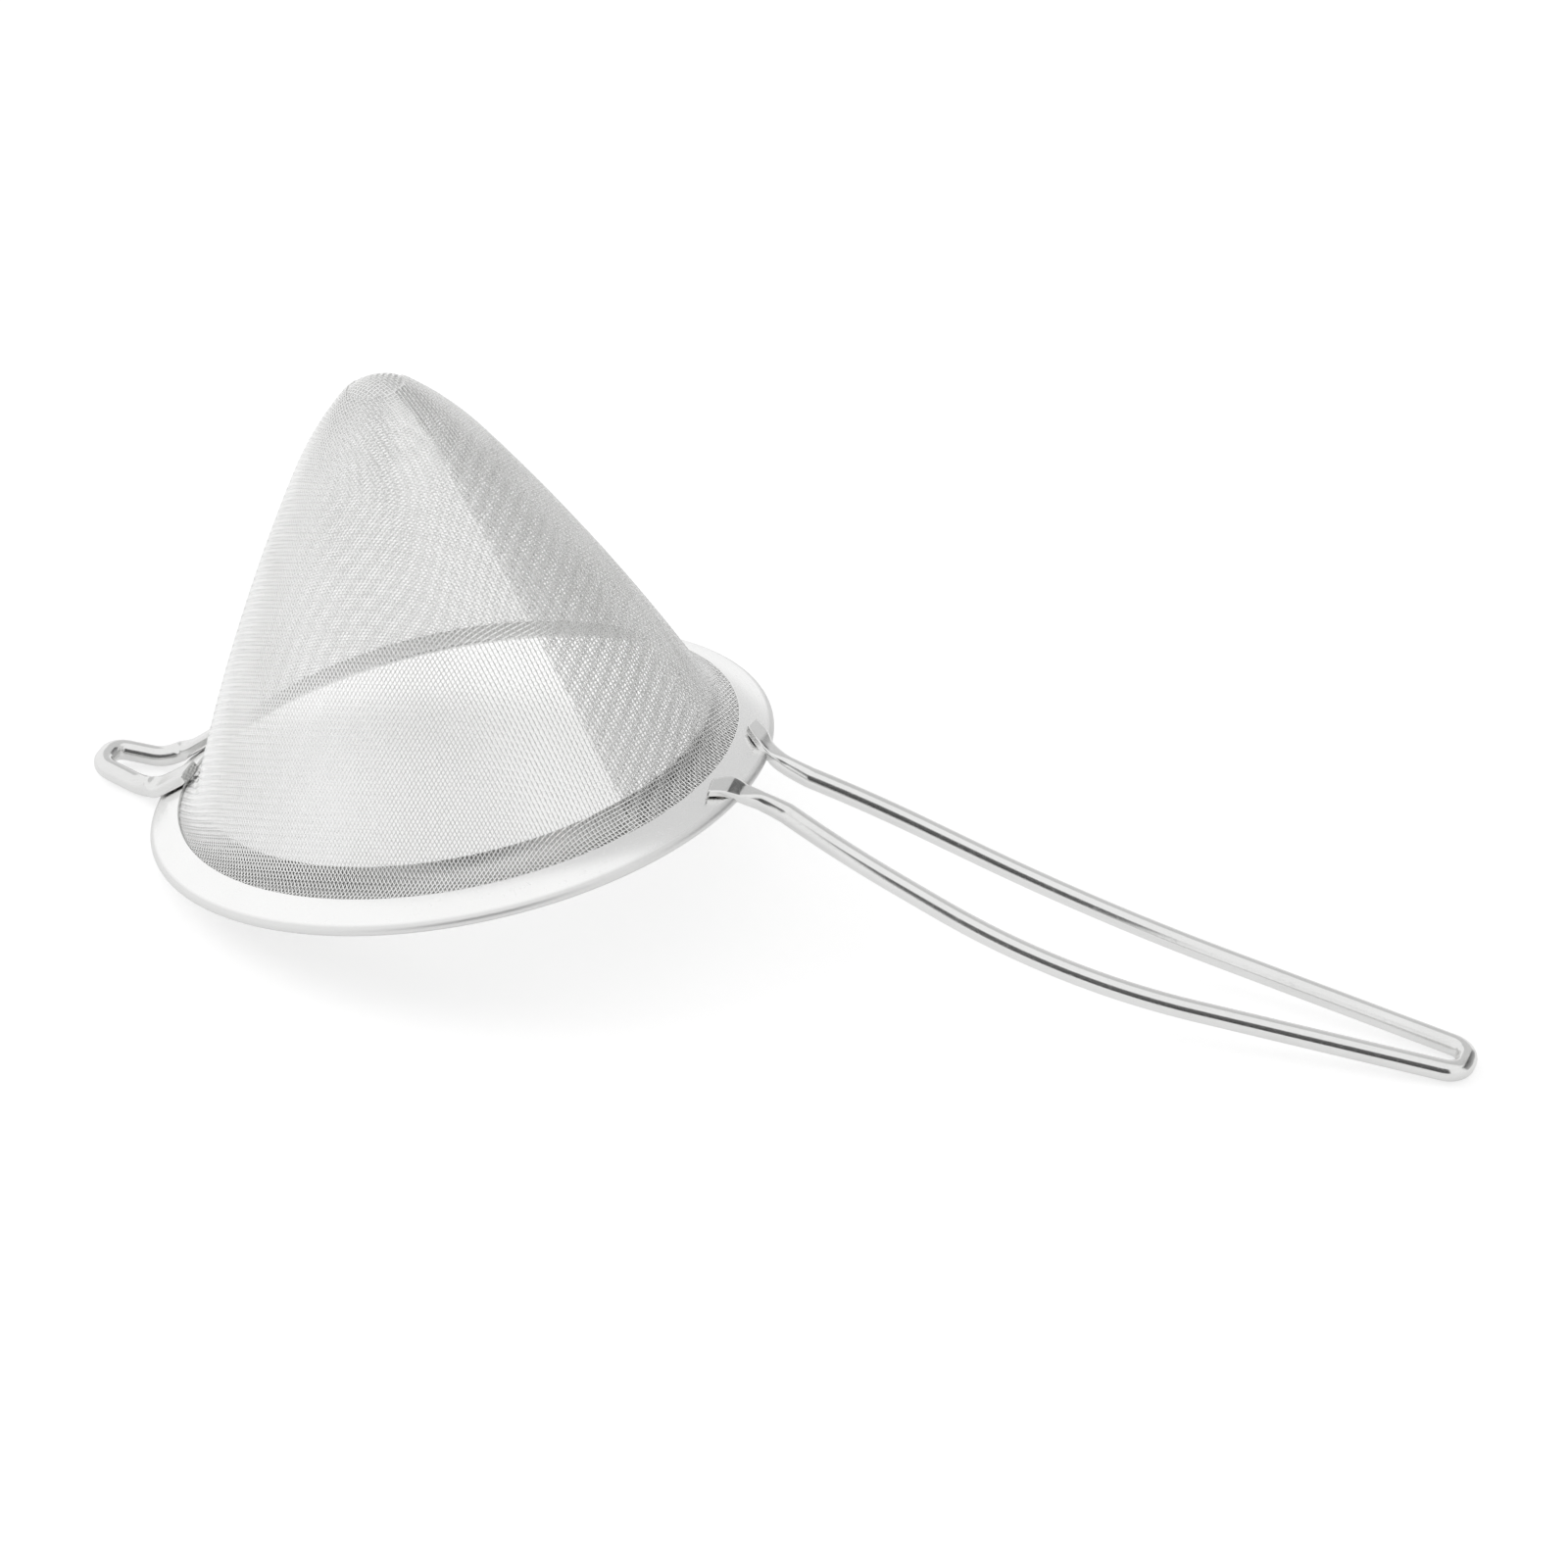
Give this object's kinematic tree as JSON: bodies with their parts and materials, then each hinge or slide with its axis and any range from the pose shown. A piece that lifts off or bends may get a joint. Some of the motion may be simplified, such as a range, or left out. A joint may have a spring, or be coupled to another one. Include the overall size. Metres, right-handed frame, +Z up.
{
  "type": "chinois strainer",
  "caption": "Conical fine mesh strainer: a pressed wire cloth cone held in a flat sloping steel rim, with a long bent wire loop handle and a small wire pot hook.",
  "frame": {"origin": "centre of the base of the bounding box, on the surface that the strainer lies on, mouth down, on the foot of its hook and the tip of its handle", "axes": "+Z up, +X from the hook towards the tip of the handle, +Y across the rim; the XZ plane is the plane of symmetry, and the cone's axis leans 13.9 degrees back from +Z towards -X"},
  "size_m": [0.2044, 0.09, 0.0728],
  "materials": {
    "band_steel": "smooth spun sheet, fine brushed sheen",
    "ring_steel": "spun sheet, satin",
    "wire_cloth": "bright drawn wire, plain weave",
    "wire_steel": "drawn wire, tumbled to a soft shine",
    "weld_steel": "dull resistance weld"
  },
  "bodies": {
    "root": {"clamp_band": "band_steel", "support_ring": "ring_steel", "mesh_cone": "wire_cloth", "handle_wire": "wire_steel", "hook_wire": "wire_steel", "handle_welds": "weld_steel", "hook_welds": "weld_steel"}
  },
  "joints": []
}
